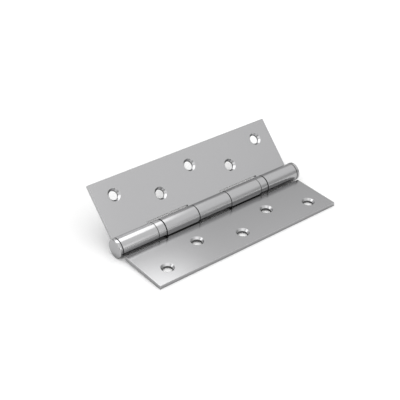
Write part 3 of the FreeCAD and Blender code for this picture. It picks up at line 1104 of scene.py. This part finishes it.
@dataclass
class Pin:
    """The pin with its button head, and the plug that closes the far end."""

    barrel: Barrel
    grip_length: float = 8.0
    button_height: float = 2.8
    button_bevel: float = 0.5
    button_groove: float = 0.45
    shoulder_step: float = 0.9
    knuckle_break: float = 0.2
    plug_shank: float = 10.0
    plug_gap: float = 1.0
    tip_break: float = 0.6
    tip_ease: float = 0.1
    rim_ease: float = 0.05
    face_ease: float = 0.25

    def button(self, base: float, out: float) -> list[Triple]:
        """Corners of a button head, from the middle of its face to the foot of its neck.

        Args:
            base: Place of the barrel's end that it closes.
            out: Which way it looks along the pin: -1 or 1.

        Returns:
            The corners, each with its easing.
        """
        radius, flat, bevel = self.barrel.radius, self.knuckle_break, self.button_bevel
        face, rim = base + out * self.button_height, base + out * self.button_groove
        neck = radius - self.shoulder_step
        return [
            (face, 0.0, 0.0),
            (face, radius - bevel, self.face_ease),
            (face - out * bevel, radius, self.face_ease),
            (rim + out * flat, radius, self.rim_ease),
            (rim, radius - flat, self.rim_ease),
            (rim, neck, 0.0),
            (base, neck, 0.0),
            (base, self.barrel.bore_radius - self.barrel.press_play, 0.0),
        ]

    def outlines(self) -> dict[str, list[Triple]]:
        """Outlines of the pin and the plug, anticlockwise.

        Returns:
            The corners of each by its node, each corner with its easing.
        """
        length, tip, bore = self.barrel.length, self.tip_break, self.barrel.bore_radius
        grip, shank = bore - self.barrel.press_play, bore - self.barrel.pin_play
        start = length - self.plug_shank
        end = start - self.plug_gap
        pin = [
            (end, 0.0, 0.0),
            (end, shank - tip, self.tip_ease),
            (end - tip, shank, self.tip_ease),
            (self.grip_length, shank, 0.0),
            (self.grip_length, grip, 0.0),
            *reversed(self.button(0.0, -1.0)),
        ]
        plug = [
            *self.button(length, 1.0),
            (start + tip, grip, self.tip_ease),
            (start, grip - tip, self.tip_ease),
            (start, 0.0, 0.0),
        ]
        return {"hinge_pin": pin, "end_plug": plug}

    def build(self) -> list[Object]:
        """Builds and dresses both pieces.

        Returns:
            The pin and the plug.
        """
        finish = Steel("turned_button", STEEL_COLOUR, 0.17, lay=Lay.ROUND_PIN)
        rest = (Side.RAISED, finish, "pin_steel", self.shoulder_step)
        outlines = self.outlines().items()
        return [self.barrel.piece(node, "turned", corners, *rest) for node, corners in outlines]


@dataclass
class Bearing:
    """A flush bearing: case, seated race, caged balls and turning race."""

    barrel: Barrel
    number: int
    start: float
    case_side: Side
    race_side: Side
    ball_count: int = 8
    ball_radius: float = 0.794
    ball_play: float = 0.03
    groove_width: float = 1.0
    groove_slope: float = 30.0
    cage_thickness: float = 0.8
    cage_play: float = 0.15
    cage_cover: float = 0.35
    pocket_play: float = 0.04
    ball_rim: float = 0.1
    case_wall: float = 0.6
    case_floor: float = 1.2
    case_corner: float = 0.5
    case_gap: float = 0.75
    case_break: float = 0.2
    race_thickness: float = 1.6
    race_play: float = 0.1
    seat_play: float = 0.02
    turn_play: float = 0.15
    case_ease: float = 0.05
    bore_ease: float = 0.08
    inner_ease: float = 0.1
    race_ease: float = 0.15

    def __post_init__(self) -> None:
        """Works out the places and radii that several pieces share."""
        slope = math.radians(self.groove_slope)
        pin_radius = self.barrel.bore_radius - self.barrel.pin_play
        self.bore = pin_radius + self.race_play
        self.cage_bore = pin_radius + self.cage_play
        self.inside = self.barrel.radius - self.case_wall
        self.ring_radius = self.inside - self.ball_rim - self.ball_radius
        self.groove_depth = self.groove_width / 2 * math.tan(slope)
        to_ball = (self.ball_radius + self.ball_play) / math.cos(slope) - self.groove_depth
        self.end = self.start + self.barrel.bearing_length
        self.floor = self.start + self.case_floor
        self.seat_face = self.floor + self.race_thickness
        self.ball_place = self.seat_face + to_ball
        self.turning_face = self.ball_place + to_ball

    def race(self, back: float, face: float, radius: float) -> list[Triple]:
        """Corners of a race with its grooved face on one side.

        Args:
            back: Place of its plain face.
            face: Place of its grooved face.
            radius: Its outer radius.

        Returns:
            The corners, anticlockwise.
        """
        into = self.groove_depth if face < back else -self.groove_depth
        half = self.groove_width / 2
        corners = [
            (face, self.bore, self.bore_ease),
            (face, self.ring_radius - half, 0.0),
            (face + into, self.ring_radius, self.inner_ease),
            (face, self.ring_radius + half, 0.0),
            (face, radius, self.race_ease),
            (back, radius, self.race_ease),
            (back, self.bore, self.bore_ease),
        ]
        return corners[::-1] if face < back else corners

    def rolling(self, mesh: Mesh) -> Mesh:
        """Moves a mesh from the bearing's middle to the row frame.

        Args:
            mesh: Mesh in millimetres about the bearing's own centre.

        Returns:
            The same mesh.
        """
        mesh.transform(Matrix.Translation((self.ball_place, 0.0, 0.0)))
        self.barrel.settle(mesh, Side.FLAT)
        return mesh

    def rings(self) -> list[Object]:
        """Makes the case and its two races.

        Returns:
            The pieces.
        """
        radius, mouth = self.barrel.radius, self.end - self.case_gap
        drawn = Steel("drawn_case", STEEL_COLOUR, 0.17, lay=Lay.ROUND_PIN)
        ground = Steel("ground_race", (0.3, 0.3, 0.31), 0.22, lay=Lay.ROUND_PIN)
        case = [
            (self.start, self.bore, self.case_ease),
            (self.floor, self.bore, self.case_ease),
            (self.floor, self.inside, self.inner_ease),
            (mouth, self.inside, self.bore_ease),
            (mouth, radius, self.case_break),
            (self.start, radius, self.case_corner),
        ]
        seated = self.race(self.floor, self.seat_face, self.inside - self.seat_play)
        turning = self.race(self.end, self.turning_face, self.inside - self.turn_play)
        rings = {
            "case": (case, self.case_side, drawn, "case_steel"),
            "seated_race": (seated, self.case_side, ground, "race_steel"),
            "turning_race": (turning, self.race_side, ground, "race_steel"),
        }
        piece, name = self.barrel.piece, f"bearing_{self.number}"
        return [piece(f"{name}_{part}", "ring", *what, self.case_wall) for part, what in rings.items()]

    def cage(self, tree: NodeTree) -> Object:
        """Makes the cage.

        Args:
            tree: The tree that bores its pockets.

        Returns:
            The piece.
        """
        half, radius = self.cage_thickness / 2, self.ring_radius + self.cage_cover
        corners = [(-half, self.cage_bore), (half, self.cage_bore), (half, radius), (-half, radius)]
        washer = self.barrel.turned("washer", [(*corner, self.inner_ease) for corner in corners])
        inputs = {
            "Count": self.ball_count,
            "Ring Radius": self.ring_radius,
            "Pocket Radius": self.ball_radius + self.pocket_play,
            "Depth": 4 * self.cage_thickness,
            "Finish": NYLON.material(),
        }
        mesh = smooth(self.rolling(worked(washer, "NODES", {"node_group": tree}, inputs)))
        node = f"bearing_{self.number}_cage"
        return stand_in(mesh, f"{node}_ring", f"ball_ring_{self.number}", "cage_nylon", [node])

    def balls(self, tree: NodeTree) -> Object:
        """Makes the balls.

        Args:
            tree: The tree that sets them in a ring.

        Returns:
            The piece, which holds them all.
        """
        inputs = {
            "Count": self.ball_count,
            "Ring Radius": self.ring_radius,
            "Ball Radius": self.ball_radius,
            "Finish": Steel("bearing_ball", (0.78, 0.78, 0.79), 0.06, 0.01, 0.0, Lay.EVEN).material(),
        }
        mesh = worked(bpy.data.meshes.new("balls"), "NODES", {"node_group": tree}, inputs)
        mesh.shade_smooth()
        name = f"bearing_{self.number}_ball"
        nodes = [f"{name}_{k}" for k in range(1, self.ball_count + 1)]
        return stand_in(self.rolling(mesh), f"{name}s", f"ball_ring_{self.number}", "ball_steel", nodes)

    def build(self, balls_tree: NodeTree, pockets_tree: NodeTree) -> list[Object]:
        """Builds and dresses the bearing.

        Args:
            balls_tree: The tree that sets a ring of balls.
            pockets_tree: The tree that bores the pockets of a cage.

        Returns:
            Its pieces.
        """
        return [*self.rings(), self.cage(pockets_tree), self.balls(balls_tree)]


# The studio: camera, floor and light.


class Wall(Enum):
    """Where a panel of light hangs: its axis, on which side, and the second axis that it runs along."""

    CEILING = ("Z", 1.0, "Y")
    FRONT = ("Y", -1.0, "Z")


@dataclass(frozen=True)
class Panel:
    """A soft-edged panel of light, on a wall or a ceiling one unit away from the hinge.

    Its bounds are places there: to the right, and to the back on the ceiling or upwards on a wall,
    so an open bound is one that runs on to the horizon.
    """

    wall: Wall
    right: Pair
    along: Pair
    strength: float
    softness: Pair


@dataclass(frozen=True)
class SoftBox:
    """A soft-edged lamp that hangs close over the hinge and faces down.

    Its bounds are places to the right and to the back, in millimetres from the origin, along axes
    that are turned with it about the vertical, in degrees.
    """

    name: str
    right: Pair
    back: Pair
    strength: float
    softness: Pair
    turn: float = 0.0
    height: float = 220.0

    def hang(self, unlit: Collection) -> None:
        """Hangs the lamp, with its strength fading out across its bounds.

        Args:
            unlit: What the lamp leaves to the light of the sky.
        """
        bounds = (self.right, self.back)
        spans = [(low - soft, high + soft) for (low, high), soft in zip(bounds, self.softness)]
        data = bpy.data.lights.new(self.name, "AREA")
        data.shape = "RECTANGLE"
        data.size, data.size_y = ((high - low) * MM for low, high in spans)
        data.energy = math.pi * data.size * data.size_y * self.strength
        made = Tree.of(data)
        turn = math.radians(self.turn)
        own = made.first(
            "ShaderNodeMapping",
            {"vector_type": "TEXTURE"},
            Vector=made.first("ShaderNodeNewGeometry"),
            Rotation=(0.0, 0.0, turn),
            Scale=(MM, MM, MM),
        )
        parts = made.add("ShaderNodeSeparateXYZ", Vector=own).outputs
        level = made.within(parts, bounds, self.softness)
        made.feed(made.tree.nodes["Emission"].inputs["Strength"], level)
        item = show(self.name, data)
        middle = Vector([*((low + high) / 2 for low, high in spans), self.height]) * MM
        item.matrix_world = Matrix.Rotation(turn, 4, "Z") @ Matrix.Translation(middle)
        item.visible_camera = False
        item.light_linking.receiver_collection = unlit


@dataclass
class Studio:
    """Camera at the photograph's place, a white floor that keeps the shadow, and soft light."""

    barrel: Barrel
    camera_place: Triple = (-330.56, -350.76, 348.14)
    azimuth: float = -40.529
    elevation: float = 33.992
    roll: float = 2.354
    lens: float = 80.09
    sensor: float = 36.0
    clip: Pair = (0.01, 20.0)
    floor_size: float = 3000.0
    floor_seen: float = 1.05
    floor_bounce: float = 0.4
    covered: float = 4.0
    cover_power: float = 2.0
    sky: float = 0.6
    panels: tuple[Panel, ...] = (
        Panel(Wall.CEILING, (-OPEN, 1.3), (-2.0, 1.02), 0.6, (0.45, 0.17)),
        Panel(Wall.FRONT, (0.0, 0.55), (0.16, 0.58), 1.83, (0.15, 0.12)),
    )
    boxes: tuple[SoftBox, ...] = (
        SoftBox("softbox_wide", (-450.0, 63.0), (18.0, 230.0), 1.65, (25.0, 8.0), -15.0),
        SoftBox("softbox_front", (-450.0, -5.0), (-450.0, -40.0), 0.7, (60.0, 40.0)),
    )

    def camera(self) -> None:
        """Sets the camera."""
        data = bpy.data.cameras.new("camera")
        data.lens, data.sensor_width = self.lens, self.sensor
        data.clip_start, data.clip_end = self.clip
        item = show("camera", data)
        turns = ((self.azimuth, "Z"), (90.0 - self.elevation, "X"), (self.roll, "Z"))
        turn, tip, roll = (Matrix.Rotation(math.radians(angle), 4, axis) for angle, axis in turns)
        place = Matrix.Translation(Vector(self.camera_place) * MM)
        item.matrix_world = place @ turn @ tip @ roll
        bpy.context.scene.camera = item

    def paper(self) -> Material:
        """Makes the floor's finish, which steel mirrors less brightly where the hinge covers it.

        Returns:
            The material.
        """
        material = bpy.data.materials.new("floor_white")
        made = Tree.of(material)
        path = made.add("ShaderNodeLightPath").outputs
        bare = made.add("ShaderNodeAmbientOcclusion", Distance=self.covered * MM).outputs["AO"]
        mirrored = made.math("ADD", path["Is Glossy Ray"], path["Is Transmission Ray"])
        mirrored = made.math("MULTIPLY", mirrored, made.math("POWER", bare, self.cover_power))
        seen = made.math("ADD", path["Is Camera Ray"], mirrored)
        level = made.math("MULTIPLY_ADD", seen, self.floor_seen - self.floor_bounce, self.floor_bounce)
        paper = made.first("ShaderNodeBsdfDiffuse", Color=level)
        made.feed(made.tree.nodes["Material Output"].inputs["Surface"], paper)
        return material

    def floor(self) -> Collection:
        """Lays a white floor under the barrel and the flat leaf's outer edge.

        Returns:
            A collection of the floor alone, marked as what the lamps don't light.
        """
        low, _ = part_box("leaf_two_knuckle")
        edge = Vector((0.0, low.y, 0.0))
        to_axis = Vector((0.0, self.barrel.axis.y, self.barrel.axis.z)) - edge
        sink = math.asin(self.barrel.radius * MM / to_axis.length)
        tilt = math.atan2(to_axis.z, to_axis.y) - sink
        half = self.floor_size / 2 * MM
        corners = [(-half, -half, 0.0), (half, -half, 0.0), (half, half, 0.0), (-half, half, 0.0)]
        mesh = mesh_of("floor", [(corners, [[0, 1, 2, 3]])])
        mesh.transform(Matrix.Translation(edge) @ Matrix.Rotation(tilt, 4, "X"))
        mesh.materials.append(self.paper())
        floor = show("floor", mesh)
        unlit = bpy.data.collections.new("lit_by_the_sky")
        unlit.objects.link(floor)
        unlit.collection_objects[0].light_linking.link_state = "EXCLUDE"
        return unlit

    def light(self) -> None:
        """Lights the scene from the world: an even sky, with soft-edged panels above and in front."""
        world = bpy.data.worlds.new("studio")
        bpy.context.scene.world = world
        made = Tree.of(world)
        background = made.tree.nodes["Background"]
        background.inputs["Color"].default_value = (1.0, 1.0, 1.0, 1.0)
        view = made.add("ShaderNodeTexCoord").outputs["Generated"]
        parts = made.add("ShaderNodeSeparateXYZ", Vector=view).outputs
        level = self.sky
        for panel in self.panels:
            level = made.math("ADD", level, self.glow(made, parts, panel))
        made.feed(background.inputs["Strength"], level)

    def glow(self, made: Tree, parts: Sequence[NodeSocket], panel: Panel) -> NodeSocket:
        """What one panel adds to the light from a direction.

        Args:
            made: The tree to write in.
            parts: X, Y and Z of the direction.
            panel: The panel.

        Returns:
            The strength.
        """
        axis, sign, second = panel.wall.value
        depth = made.math("MAXIMUM", made.math("MULTIPLY", parts[axis], sign), 1.0 / OPEN)
        right = made.math("DIVIDE", parts["X"], depth)
        along = made.math("DIVIDE", parts[second], depth)
        inside = made.within((right, along), (panel.right, panel.along), panel.softness)
        facing = made.math("GREATER_THAN", depth, 2.0 / OPEN)
        return made.math("MULTIPLY", made.math("MULTIPLY", inside, facing), panel.strength)

    def build(self) -> None:
        """Sets everything and the view transform."""
        self.camera()
        unlit = self.floor()
        self.light()
        for box in self.boxes:
            box.hang(unlit)
        bpy.context.scene.view_settings.view_transform = "Standard"


def main() -> None:
    """Builds the hinge and its studio."""
    logging.basicConfig(level=logging.INFO, format="%(name)s %(message)s")
    barrel = Barrel()
    Studio(barrel).build()
    grain_group()
    gap, length = barrel.knuckle_gap / 2, barrel.length
    first_end = barrel.end_knuckle
    second_start = first_end + barrel.bearing_length
    second_end = second_start + barrel.side_knuckle
    past = 5.0
    raised_spans = [(first_end, second_end + gap), (length - second_end - gap, length - first_end)]
    flat_spans = [
        (-past, second_start),
        (second_end - gap, length - second_end + gap),
        (length - second_start, length + past),
    ]
    sheet_tree = punched_sheet_tree()
    Leaf(barrel, Side.FLAT, "leaf_two_knuckle", flat_spans).build(sheet_tree)
    Leaf(barrel, Side.RAISED, "leaf_three_knuckle", raised_spans).build(sheet_tree)
    Pin(barrel).build()
    trees = ball_ring_tree(), cage_tree()
    Bearing(barrel, 1, first_end, Side.RAISED, Side.FLAT).build(*trees)
    Bearing(barrel, 2, length - second_start, Side.FLAT, Side.RAISED).build(*trees)


if __name__ == "__main__":
    main()
